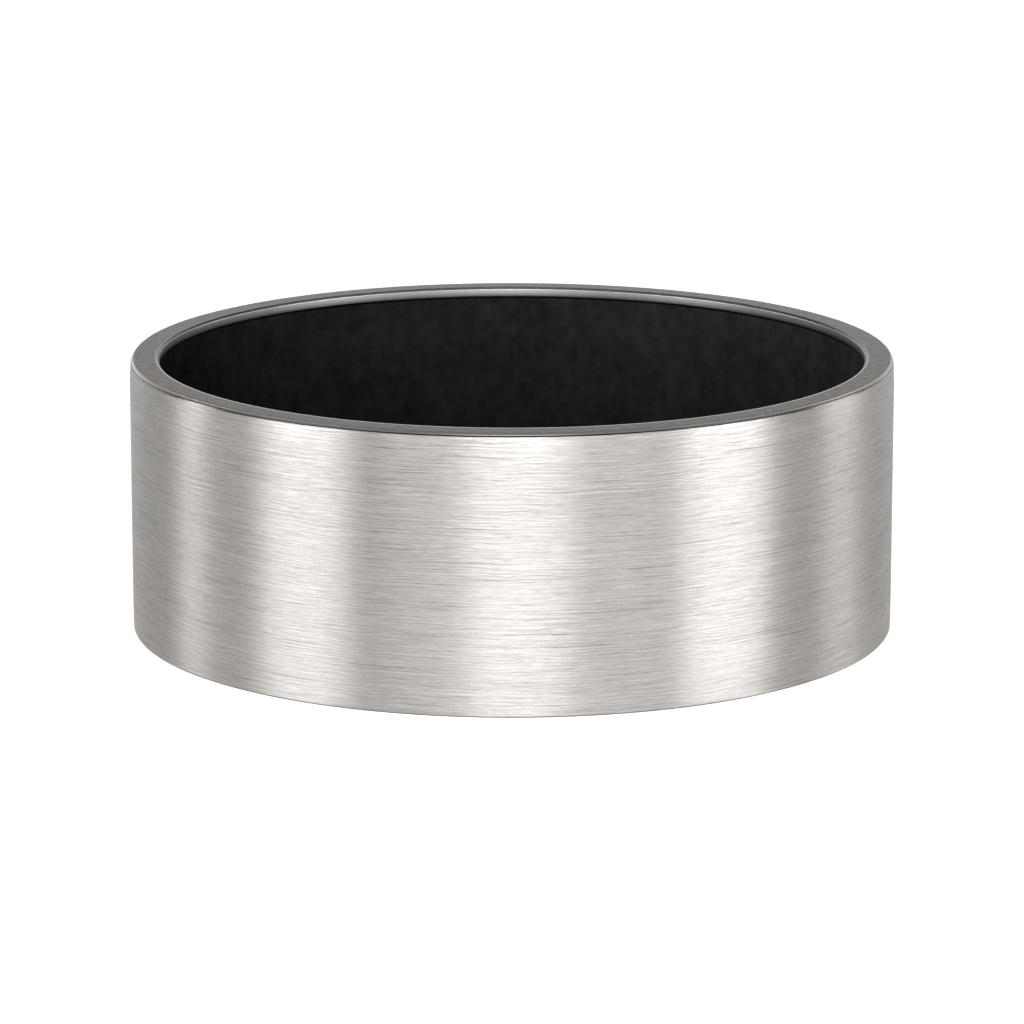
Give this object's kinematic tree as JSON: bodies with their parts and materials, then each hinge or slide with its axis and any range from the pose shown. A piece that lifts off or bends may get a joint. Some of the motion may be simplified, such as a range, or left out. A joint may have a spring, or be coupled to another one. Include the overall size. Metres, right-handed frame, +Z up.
{
  "type": "tungsten band ring",
  "caption": "Flat-sided brushed metal finger ring with bevelled edges and a matte black liner set into its bore.",
  "frame": {"origin": "on the ring's axis, in the plane of the lower rim, which the ring rests on", "axes": "+Z up, along the ring's axis; +X and +Y are equal, because the ring is the same all round"},
  "size_m": [0.0222, 0.0222, 0.008],
  "materials": {
    "brushed_metal": "brushed round the outer face, satin on the rims, polished on the bevels",
    "black_liner": "matte black"
  },
  "bodies": {
    "root": {"band": "brushed_metal", "liner": "black_liner"}
  },
  "joints": []
}
